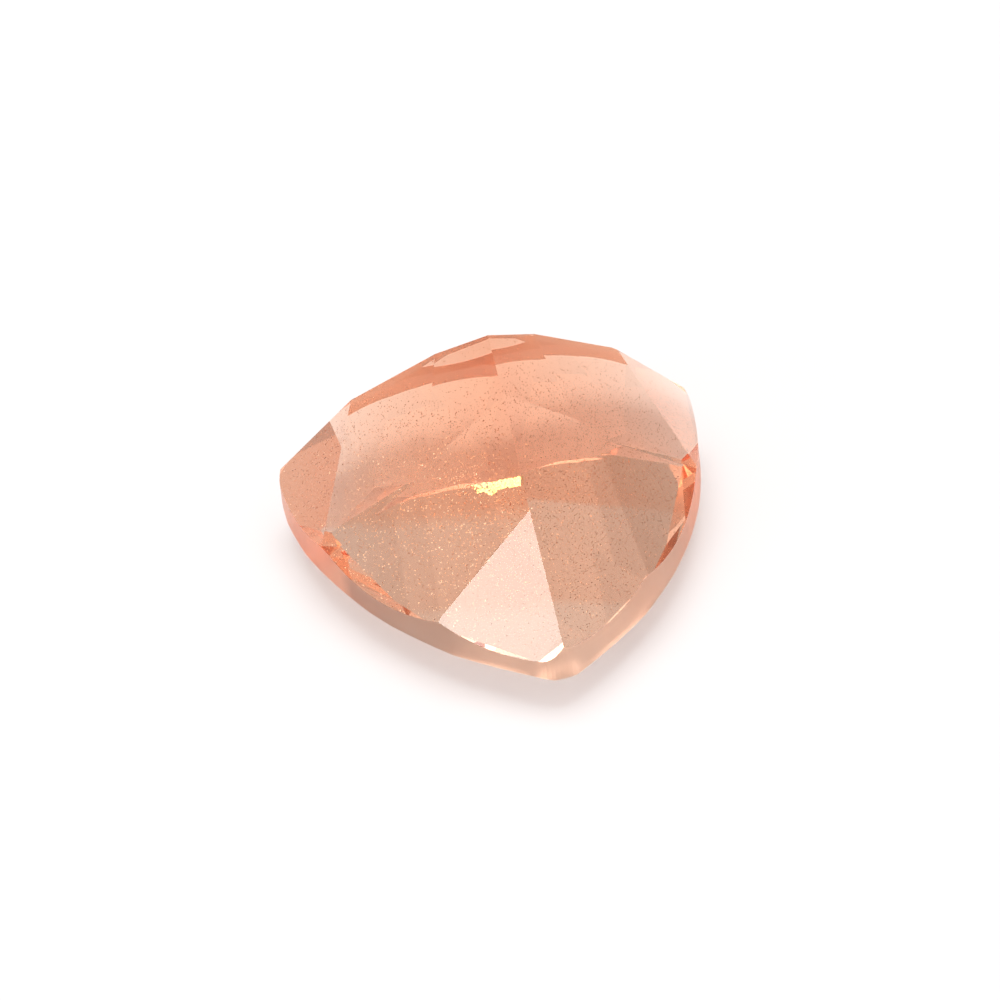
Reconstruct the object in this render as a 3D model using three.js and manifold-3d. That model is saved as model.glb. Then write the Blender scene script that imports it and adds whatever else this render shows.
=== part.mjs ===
// A loose cut sunstone: one faceted, see-through feldspar, cut as a rounded triangle.
// It rests on its table, the large flat facet, with the pointed pavilion up.
// The origin is the middle of the table and +Z runs up the stone's axis to the culet.
import * as THREE from "three";
import { mergeVertices } from "three/addons/utils/BufferGeometryUtils.js";
import Module from "manifold-3d";

const wasm = await Module();
wasm.setup();

// Girdle outline, in millimetres: a triangle with three bowed sides and blunt corners.
const CORNER_REACH = 5.9; // from the stone's axis to a corner, before it is blunted
const SIDE_REACH = 4.32; // from the axis to the middle of a side
const CORNER_RADIUS = 0.75;
const SIDE_STEPS = 36;
const CORNER_STEPS = 8;

// Heights, in millimetres. The crown is cut higher at the back, so the girdle is thinner there.
const CROWN_HEIGHT = 0.85; // table to the girdle's lower edge, on the two front sides
const BACK_CROWN_HEIGHT = 1.3;
const GIRDLE_THICKNESS = 0.84; // on the two front sides
const PAVILION_HEIGHT = 5.2; // girdle's upper edge to the culet
const GIRDLE_TOP = CROWN_HEIGHT + GIRDLE_THICKNESS;

// The three main facets meet in the culet, which is as high as their slope and rim make it.
const MAIN_SLOPE = 48; // degrees
const MAIN_RIM = PAVILION_HEIGHT / Math.tan(THREE.MathUtils.degToRad(MAIN_SLOPE));

// Directions round the axis, in degrees. One corner points to the front.
const CORNERS = { front: -90, right: 30, left: 150 };
const SIDES = { frontRight: -30, back: 90, frontLeft: 210 };

// The cut, as tiers of facets. A slope is in degrees from level. A turn is how far a facet faces
// away from its corner or side, in degrees. A rim is how far from the axis its plane meets the
// girdle's edge, and a reach is how far from the axis it meets the table, in millimetres.
const PAVILION = {
  main: { turn: 0, slope: MAIN_SLOPE, rim: MAIN_RIM }, // the large facet on each side
  ridge: { turn: 52.4, slope: 51.2, rim: 4.41 }, // a pair on each corner's ridge
  break: { turn: 0, slope: 55, rim: 4.17 }, // a triangle on the middle of each side
  point: { turn: 38.9, slope: 56.7, rim: 4.64 }, // a pair at each corner
};
const CROWN = {
  "corner kite": { turn: 0, rim: 5.68, reach: 3.83 },
  "side kite": { turn: 0, rim: 4.28, reach: 2.6 },
  "corner break": { turn: 39, rim: 4.6, reach: 2.95 },
  "side break": { turn: 53, rim: 4.31, reach: 2.81 },
  star: { turn: 46, slope: 18, reach: 2.66 }, // a narrow pair between the table's corner and sides
};
// The crown sits a little off centre, so the girdle is thinner on the left and thicker on the right.
const CROWN_SHIFT = 0.17;
// How single facets of the hand-cut stone differ from their tier.
const UNEVEN = {
  "main frontRight": { slope: -0.5, rim: 0.08 },
  "break frontRight": { turn: 0.7 },
  "break back": { rim: 0.23 },
  "break frontLeft": { turn: 0.9, rim: 0.01 },
  "point right -1": { rim: 0.04 },
  "point front -1": { turn: -3.3, slope: 1.7, rim: 0.01 },
  "corner break left 1": { rim: 0.26 },
};

const STONE = new THREE.MeshStandardMaterial({
  color: 0xe6a17f,
  roughness: 0.04,
  metalness: 0,
  transparent: true,
  opacity: 0.55,
  flatShading: true,
});

const radians = THREE.MathUtils.degToRad;

// The blunted triangle, drawn anticlockwise from arcs.
function girdleOutline() {
  const halfSide = CORNER_REACH * Math.sin(radians(60));
  const bow = SIDE_REACH - CORNER_REACH / 2;
  const sideRadius = (halfSide ** 2 + bow ** 2) / (2 * bow);
  const sideCentre = sideRadius - SIDE_REACH;
  // A corner's arc touches both sides, so its centre is this far from theirs.
  const gap = sideRadius - CORNER_RADIUS;
  const cornerCentre = (Math.sqrt(4 * gap ** 2 - 3 * sideCentre ** 2) - sideCentre) / 2;
  const halfArc = Math.asin((Math.sin(radians(60)) * cornerCentre) / gap);
  const halfCorner = radians(60) - halfArc;
  const points = [];
  const arc = (centre, towards, radius, half, steps) => {
    for (let step = 0; step < steps; step += 1) {
      const angle = towards - half + (2 * half * step) / steps;
      const x = centre * Math.cos(towards) + radius * Math.cos(angle);
      const y = centre * Math.sin(towards) + radius * Math.sin(angle);
      points.push(new THREE.Vector2(x, y));
    }
  };
  for (const corner of Object.values(CORNERS)) {
    arc(cornerCentre, radians(corner), CORNER_RADIUS, halfCorner, CORNER_STEPS);
    arc(-sideCentre, radians(corner + 60), sideRadius, halfArc, SIDE_STEPS);
  }
  return new THREE.Shape(points);
}

// A closed geometry as a solid, with the vertices that its faces share merged.
function solid(geometry) {
  geometry.deleteAttribute("normal");
  geometry.deleteAttribute("uv");
  const merged = mergeVertices(geometry, 1e-5);
  return new wasm.Manifold(
    new wasm.Mesh({
      numProp: 3,
      vertProperties: new Float32Array(merged.attributes.position.array),
      triVerts: new Uint32Array(merged.index.array),
    }),
  );
}

// The waste that a facet takes off: a block whose flat face is the facet's plane, before it is
// turned to the facet's direction. It lies above the plane, or below it on the crown.
const WASTE_SIZE = 30;
function waste(slope, rim, level, onCrown) {
  const block = new THREE.BoxGeometry(WASTE_SIZE, WASTE_SIZE, WASTE_SIZE);
  block.translate(0, 0, WASTE_SIZE / 2);
  block.rotateY(radians(slope));
  if (onCrown) block.rotateX(Math.PI);
  return block.translate(rim, 0, level);
}

// The slope of a crown facet that faces this way. It runs from its reach on the table to its rim.
function crownSlope(tier, facing) {
  const facesBack = Math.sin(radians(facing)) > Math.cos(radians(30));
  const height = facesBack ? BACK_CROWN_HEIGHT : CROWN_HEIGHT;
  return tier.slope ?? THREE.MathUtils.radToDeg(Math.atan2(height, tier.rim - tier.reach));
}

// One facet's waste, turned to its direction. `way` is 1 or -1, on either side of `towards`.
function facet(kind, place, towards, way) {
  const onCrown = kind in CROWN;
  const tier = { ...(onCrown ? CROWN[kind] : PAVILION[kind]) };
  for (const [name, change] of Object.entries(UNEVEN[`${kind} ${place}`] ?? {})) {
    tier[name] += change;
  }
  const facing = towards + way * tier.turn;
  if (!onCrown) {
    return solid(waste(tier.slope, tier.rim, GIRDLE_TOP, false).rotateZ(radians(facing)));
  }
  const block = waste(crownSlope(tier, facing), tier.reach, 0, true).rotateZ(radians(facing));
  const shiftTowards = radians(SIDES.frontRight);
  const [x, y] = [Math.cos(shiftTowards), Math.sin(shiftTowards)];
  return solid(block.translate(CROWN_SHIFT * x, CROWN_SHIFT * y, 0));
}

const facets = [];
for (const [place, towards] of Object.entries(SIDES)) {
  for (const kind of ["main", "break", "side kite"]) {
    facets.push(facet(kind, place, towards, 1));
  }
}
for (const [place, towards] of Object.entries(CORNERS)) {
  facets.push(facet("corner kite", place, towards, 1));
  for (const kind of ["ridge", "point", "corner break", "side break", "star"]) {
    for (const way of [-1, 1]) facets.push(facet(kind, `${place} ${way}`, towards, way));
  }
}

const rough = new THREE.ExtrudeGeometry(girdleOutline(), {
  depth: GIRDLE_TOP + PAVILION_HEIGHT + 1,
  bevelEnabled: false,
  steps: 1,
});
let stone = solid(rough);
for (const block of facets) stone = stone.subtract(block);

function mesh(name, body, material) {
  const cut = body.getMesh();
  const shared = new THREE.BufferGeometry();
  shared.setAttribute("position", new THREE.BufferAttribute(cut.vertProperties, 3));
  shared.setIndex(new THREE.BufferAttribute(cut.triVerts, 1));
  // Each triangle gets vertices of its own, so the facets are shaded flat.
  const geometry = shared.toNonIndexed();
  geometry.computeVertexNormals();
  const piece = new THREE.Mesh(geometry, material);
  piece.name = name;
  return piece;
}

const group = new THREE.Group();
group.add(mesh("sunstone", stone, STONE));

export default group;
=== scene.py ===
"""A loose cut sunstone, lying on its table on white paper under a light tent.

The stone is the CAD solid. This script gives it its finish, its colour zones and its
copper platelets. Lengths are in metres.
"""

from math import cos, radians, sin
from random import Random

import bmesh
import bpy
from mathutils import Matrix, Vector


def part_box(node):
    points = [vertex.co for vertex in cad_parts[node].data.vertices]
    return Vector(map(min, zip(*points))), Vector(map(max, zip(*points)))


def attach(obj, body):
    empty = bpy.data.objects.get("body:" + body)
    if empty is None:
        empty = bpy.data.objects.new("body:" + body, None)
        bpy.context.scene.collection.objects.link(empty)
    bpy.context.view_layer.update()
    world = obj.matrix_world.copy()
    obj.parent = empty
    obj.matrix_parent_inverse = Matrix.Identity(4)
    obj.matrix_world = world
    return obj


MM = 0.001
MICRON = MM / 1000

# The photograph's view: a turn to the left, a look down and a lean of the camera.
VIEW_TURN = radians(-7.8)
VIEW_DOWN = radians(38.2)
VIEW_LEAN = radians(6.6)
VIEW_DISTANCE = 240 * MM
VIEW_WIDTH = 24 * MM  # across the picture, at the stone
SENSOR_WIDTH = 36  # millimetres
# What the middle of the picture shows, from the stone's axis at the top of its girdle.
VIEW_LEFT = 0.18 * MM
VIEW_UP = 0.158 * MM
GIRDLE_TOP = 1.69 * MM

# The light tent is a grey room with soft panels. A panel's turn is from +X towards +Y, and its rise
# is above level. It has its full strength out to its core, and has faded out at its edge. All four
# are in degrees, and its strength comes last.
ROOM_LIGHT = 0.3
PANELS = [
    (75, 30, 20, 75, 0.35),  # the wall behind the stone
    (80, 60, 18, 34, 0.15),  # the brighter cloth above it
    (-19, 26, 15, 40, 0.5),  # the wall to the right
    (-95, 18, 25, 60, 0.7),  # the wall in front
    (180, 20, 15, 50, 0.25),  # the wall to the left
    (-100, 78, 20, 50, 1.7),  # the white ceiling round the lamp
    (80, 82, 8, 28, 6.8),  # the lamp above, a little behind the stone
    (-148, 20, 7, 13, 6.6),  # the window that the front facet mirrors
]

# The girdle is told from the facets by how far up or down a face looks: 0 is upright, 1 is level.
UPRIGHT = 0.02
SLOPING = 0.1
GIRDLE_ROUGHNESS = 0.45
FACET_ROUGHNESS = 0.01
# Painted shade: the girdle on the left of the front corner is tinted grey where it looks darker.
# Each row is an axis, and where along it the painted shade goes from none to full, in millimetres.
GIRDLE_SHADE_FADES = [("X", -4.35, -4.15), ("X", -1.2, -2.3), ("Y", 0.4, -0.4)]

# The colour deepens in two steps towards the back and the top, along one direction of the crystal.
DEEPER_TOWARDS = Vector((0.18, 0.69, 0.7)).normalized()
ZONE_STARTS = [-1.5, 0.75]  # millimetres along that direction, from the middle of the table
# Between the stone's surface and the first zone, and between one zone and the next.
ZONE_GAP = 0.015 * MM
STONE_MIDDLE = Vector((0, 0, 2.3 * MM))

# Copper platelets. They lie almost parallel, as they grew on one plane of the crystal.
PLATELET_COUNT = 9000
PLATELET_RADIUS = (7, 20)  # microns, the smallest ones being the most common
PLATELET_FACING = Vector((-0.32, -0.44, 0.84)).normalized()
PLATELET_TILT = 0.12  # how far their directions scatter
PLATELET_SIDES = 6
PLATELET_THICKNESS = 0.06  # from its middle to its face, as a share of its radius
PLATELET_DEPTH = 4 * ZONE_GAP  # the least there is between a platelet's middle and the surface
# Larger ones lie close together in a feather just under the facet on the left of the front ridge.
FEATHER_END = Vector((-0.01, -2.98, 4.73)) * MM  # its blunt end, beside the ridge
FEATHER_ALONG = Vector((-0.77, 0.51, -0.38)).normalized()
FEATHER_ACROSS = Vector((-0.14, -0.72, -0.68)).normalized()
FEATHER_LENGTH = 1.45 * MM
FEATHER_HALF_WIDTH = 0.1  # millimetres
# It bulges on its lower side. The middle and the spread of that are shares of its length.
FEATHER_BULGE = 0.12  # millimetres
BULGE_MIDDLE = 0.6
BULGE_SPREAD = 0.22
FEATHER_COUNT = 420
FEATHER_FILL = 1.6  # this times the share of its length still ahead is a platelet's chance to stay
FEATHER_RADIUS = (14, 34)
FEATHER_TILT = 0.025
FEATHER_BEND = 0.04  # how far the platelets at its tip lean away from the others

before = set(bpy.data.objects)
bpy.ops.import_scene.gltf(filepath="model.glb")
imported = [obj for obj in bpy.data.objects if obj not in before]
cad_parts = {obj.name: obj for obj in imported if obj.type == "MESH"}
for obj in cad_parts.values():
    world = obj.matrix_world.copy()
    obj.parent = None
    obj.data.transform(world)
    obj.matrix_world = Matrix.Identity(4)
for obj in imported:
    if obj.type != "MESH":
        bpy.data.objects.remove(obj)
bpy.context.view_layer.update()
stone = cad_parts["sunstone"]


def linear(hex_colour):
    """An sRGB hex colour as linear RGBA."""
    channels = [int(hex_colour[i : i + 2], 16) / 255 for i in (1, 3, 5)]
    return [c / 12.92 if c <= 0.04045 else ((c + 0.055) / 1.055) ** 2.4 for c in channels] + [1]


def new_material(name):
    """A material with an empty node tree, and its output node."""
    material = bpy.data.materials.new(name)
    material.use_nodes = True
    material.node_tree.nodes.clear()
    output = material.node_tree.nodes.new("ShaderNodeOutputMaterial")
    return material, output


def add(tree, kind, inputs=None, **settings):
    """Adds a node with its settings, and with its inputs as values or as other nodes' outputs."""
    node = tree.nodes.new("ShaderNode" + kind)
    for name, value in settings.items():
        setattr(node, name, value)
    for name, value in (inputs or {}).items():
        if isinstance(value, bpy.types.NodeSocket):
            tree.links.new(value, node.inputs[name])
        else:
            node.inputs[name].default_value = value
    return node


def clear_stone():
    """Feldspar: the facets are polished and clear, and the girdle is left frosted from grinding. A
    stretch of the girdle on the front left is tinted grey as painted shade.
    """
    material, output = new_material("polished sunstone")
    tree = material.node_tree
    facing = add(tree, "SeparateXYZ", {"Vector": add(tree, "NewGeometry").outputs["True Normal"]})
    level = add(tree, "Math", {0: facing.outputs["Z"]}, operation="ABSOLUTE")
    steep = {"Value": level.outputs["Value"], "From Min": UPRIGHT, "From Max": SLOPING}
    finishes = {"To Min": GIRDLE_ROUGHNESS, "To Max": FACET_ROUGHNESS}
    roughness = add(tree, "MapRange", {**steep, **finishes})
    girdle = add(tree, "MapRange", {**steep, "To Min": 1, "To Max": 0})
    spot = add(tree, "SeparateXYZ", {"Vector": add(tree, "TexCoord").outputs["Object"]})
    painted_shade = girdle.outputs["Result"]
    for axis, none, full in GIRDLE_SHADE_FADES:
        fade = {"Value": spot.outputs[axis], "From Min": none * MM, "From Max": full * MM}
        part = add(tree, "MapRange", fade).outputs["Result"]
        painted_shade = add(tree, "Math", {0: painted_shade, 1: part}, operation="MULTIPLY").outputs["Value"]
    # Painted shade: the mask mixes a grey tint into the girdle's base colour on its front left.
    painted_shade_tints = {0: painted_shade, 6: linear("#ffffff"), 7: linear("#b4b2b4")}
    shaded_base = add(tree, "Mix", painted_shade_tints, data_type="RGBA").outputs[2]
    finish = {"Roughness": roughness.outputs["Result"], "IOR": 1.56, "Transmission Weight": 1}
    surface = add(tree, "BsdfPrincipled", {"Base Color": shaded_base, **finish})
    inside = add(tree, "VolumeAbsorption", {"Color": linear("#fbc583"), "Density": 24})
    tree.links.new(surface.outputs["BSDF"], output.inputs["Surface"])
    tree.links.new(inside.outputs["Volume"], output.inputs["Volume"])
    return material


def colour_zone():
    """The same feldspar with more copper in it: a deeper orange, with no surface of its own."""
    material, output = new_material("sunstone colour zone")
    tree = material.node_tree
    finish = {"Roughness": 0, "IOR": 1, "Transmission Weight": 1}
    surface = add(tree, "BsdfPrincipled", {"Base Color": linear("#ffffff"), **finish})
    inside = add(tree, "VolumeAbsorption", {"Color": linear("#febb70"), "Density": 80})
    tree.links.new(surface.outputs["BSDF"], output.inputs["Surface"])
    tree.links.new(inside.outputs["Volume"], output.inputs["Volume"])
    return material


def tarnished_copper():
    """The fine platelets: dull brown metal, pale where it mirrors the lamp and dark elsewhere."""
    material, output = new_material("tarnished copper")
    tree = material.node_tree
    finish = {"Metallic": 1, "Roughness": 0.3}
    surface = add(tree, "BsdfPrincipled", {"Base Color": linear("#b5987f"), **finish})
    tree.links.new(surface.outputs["BSDF"], output.inputs["Surface"])
    return material


def bright_copper():
    """The feather: clean copper, so smooth that it flashes golden in the lamp's light."""
    material, output = new_material("bright copper")
    tree = material.node_tree
    finish = {"Metallic": 1, "Roughness": 0.2}
    surface = add(tree, "BsdfPrincipled", {"Base Color": linear("#e2a45f"), **finish})
    tree.links.new(surface.outputs["BSDF"], output.inputs["Surface"])
    return material


def paper_with_painted_glow():
    """Matte white paper with a painted glow: it glows pink-white though no lamp lights it, which
    lifts and warms the shade round the stone, and its bluish base keeps the open paper white.
    """
    material, output = new_material("white paper")
    tree = material.node_tree
    # Painted glow: a pink-white emission on the paper that stands in for light reaching the shade
    # round the stone.
    glow = {"Emission Color": linear("#ffe4dc"), "Emission Strength": 0.44}
    finish = {"Base Color": linear("#919698"), "Roughness": 0.9}
    surface = add(tree, "BsdfPrincipled", {**finish, **glow})
    tree.links.new(surface.outputs["BSDF"], output.inputs["Surface"])
    return material


def place(name, shape, material):
    """A piece of the stone, made from a finished bmesh."""
    mesh = bpy.data.meshes.new(name)
    shape.to_mesh(mesh)
    shape.free()
    mesh.materials.append(material)
    piece = bpy.data.objects.new(name, mesh)
    bpy.context.collection.objects.link(piece)
    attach(piece, "root")
    return piece


def make_zones():
    """Each zone has the stone's own shape, a hair smaller, and is cut off flat where it starts."""
    material = colour_zone()
    reach = max((corner.co - STONE_MIDDLE).length for corner in stone.data.vertices)
    for number, start in enumerate(ZONE_STARTS, 1):
        shape = bmesh.new()
        shape.from_mesh(stone.data)
        bmesh.ops.remove_doubles(shape, verts=shape.verts, dist=0.1 * ZONE_GAP)
        smaller = 1 - 2 * number * ZONE_GAP / reach
        for corner in shape.verts:
            corner.co = STONE_MIDDLE + (corner.co - STONE_MIDDLE) * smaller
        whole = shape.verts[:] + shape.edges[:] + shape.faces[:]
        cut = bmesh.ops.bisect_plane(
            shape,
            geom=whole,
            plane_co=DEEPER_TOWARDS * (start * MM),
            plane_no=DEEPER_TOWARDS,
            clear_inner=True,
        )
        rim = [edge for edge in cut["geom_cut"] if isinstance(edge, bmesh.types.BMEdge)]
        bmesh.ops.edgeloop_fill(shape, edges=rim)
        bmesh.ops.recalc_face_normals(shape, faces=shape.faces)
        place(f"colour_zone_{number}", shape, material)


def add_platelet(shape, draw, middle, radii, tilt, bend=0):
    """One thin six-sided plate. A bend leans it along the feather."""
    across = PLATELET_FACING.orthogonal().normalized()
    along = PLATELET_FACING.cross(across)
    facing = PLATELET_FACING + across * draw.gauss(0, tilt) + along * draw.gauss(0, tilt)
    facing += FEATHER_ALONG * bend
    facing.normalize()
    side = facing.orthogonal().normalized()
    other = facing.cross(side)
    corner = 360 / PLATELET_SIDES
    start = draw.uniform(0, corner)
    radius = draw.triangular(*radii, radii[0]) * MICRON
    angles = [radians(start + corner * step) for step in range(PLATELET_SIDES)]
    rims = []
    for level in (-PLATELET_THICKNESS * radius, PLATELET_THICKNESS * radius):
        centre = middle + facing * level
        spots = [centre + (side * cos(a) + other * sin(a)) * radius for a in angles]
        rims.append([shape.verts.new(spot) for spot in spots])
    bottom, top = rims
    shape.faces.new(top)
    shape.faces.new(bottom[::-1])
    for step in range(PLATELET_SIDES):
        after = (step + 1) % PLATELET_SIDES
        shape.faces.new((bottom[step], bottom[after], top[after], top[step]))


def make_platelets():
    """Fine crystals all through the stone, in one mesh."""
    walls = [(face.normal.copy(), face.normal.dot(face.center)) for face in stone.data.polygons]
    low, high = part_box("sunstone")
    draw = Random(11)
    shape = bmesh.new()
    made = 0
    while made < PLATELET_COUNT:
        middle = Vector([draw.uniform(low[axis], high[axis]) for axis in range(3)])
        if all(normal.dot(middle) < level - PLATELET_DEPTH for normal, level in walls):
            add_platelet(shape, draw, middle, PLATELET_RADIUS, PLATELET_TILT)
            made += 1
    place("copper_platelets", shape, tarnished_copper())


def make_feather():
    """The feather is a band that bulges near its middle and thins out to its tip."""
    draw = Random(5)
    shape = bmesh.new()
    made = 0
    while made < FEATHER_COUNT:
        along = draw.random()
        bulge = max(0, 1 - abs(along - BULGE_MIDDLE) / BULGE_SPREAD)
        low = FEATHER_HALF_WIDTH + FEATHER_BULGE * bulge
        across = draw.uniform(-FEATHER_HALF_WIDTH, low) * MM
        if draw.random() < FEATHER_FILL * (1 - along):
            middle = FEATHER_END + FEATHER_ALONG * FEATHER_LENGTH * along + FEATHER_ACROSS * across
            bend = FEATHER_BEND * along * along
            add_platelet(shape, draw, middle, FEATHER_RADIUS, FEATHER_TILT, bend)
            made += 1
    place("copper_feather", shape, bright_copper())


def make_floor():
    half = 600 * MM
    level = -0.02 * MM  # a breath of air under the table, as on real paper
    front = [(-half, -half, level), (half, -half, level)]
    back = [(half, half, level), (-half, half, level)]
    mesh = bpy.data.meshes.new("paper")
    mesh.from_pydata(front + back, [], [(0, 1, 2, 3)])
    mesh.materials.append(paper_with_painted_glow())
    floor = bpy.data.objects.new("paper", mesh)
    bpy.context.collection.objects.link(floor)


def make_camera():
    right = Vector((cos(VIEW_TURN), sin(VIEW_TURN), 0))
    outwards = cos(VIEW_DOWN)
    back = Vector((sin(VIEW_TURN) * outwards, -cos(VIEW_TURN) * outwards, sin(VIEW_DOWN)))
    up = back.cross(right)
    leaning_right = right * cos(VIEW_LEAN) - up * sin(VIEW_LEAN)
    leaning_up = right * sin(VIEW_LEAN) + up * cos(VIEW_LEAN)
    middle = Vector((0, 0, GIRDLE_TOP)) - leaning_right * VIEW_LEFT + leaning_up * VIEW_UP
    data = bpy.data.cameras.new("camera")
    data.sensor_width = SENSOR_WIDTH
    data.lens = SENSOR_WIDTH * VIEW_DISTANCE / VIEW_WIDTH
    data.clip_start = 10 * MM
    camera = bpy.data.objects.new("camera", data)
    bpy.context.collection.objects.link(camera)
    turn = Matrix((leaning_right, leaning_up, back)).transposed()
    camera.matrix_world = Matrix.Translation(middle + back * VIEW_DISTANCE) @ turn.to_4x4()
    bpy.context.scene.camera = camera


def make_light():
    """The light tent is the world's background, so the scene has no lamp objects."""
    world = bpy.data.worlds.new("light tent")
    world.use_nodes = True
    tree = world.node_tree
    direction = add(tree, "TexCoord").outputs["Generated"]
    level = ROOM_LIGHT
    for turn, rise, core, edge, strength in PANELS:
        turn, rise = radians(turn), radians(rise)
        towards = (cos(turn) * cos(rise), sin(turn) * cos(rise), sin(rise))
        near = add(tree, "VectorMath", {0: direction, 1: towards}, operation="DOT_PRODUCT")
        fade = {"From Min": cos(radians(edge)), "From Max": cos(radians(core)), "To Max": strength}
        fade["Value"] = near.outputs["Value"]
        glow = add(tree, "MapRange", fade, interpolation_type="SMOOTHSTEP").outputs["Result"]
        level = add(tree, "Math", {0: level, 1: glow}, operation="ADD").outputs["Value"]
    background = tree.nodes["Background"]
    background.inputs["Color"].default_value = linear("#ffffff")
    tree.links.new(level, background.inputs["Strength"])
    bpy.context.scene.world = world
    bpy.context.scene.view_settings.view_transform = "Standard"
    bpy.context.scene.cycles.max_bounces = 44
    bpy.context.scene.cycles.glossy_bounces = 10
    bpy.context.scene.cycles.transmission_bounces = 40


stone.data.materials.clear()
stone.data.materials.append(clear_stone())
make_zones()
make_platelets()
make_feather()
make_floor()
make_camera()
make_light()
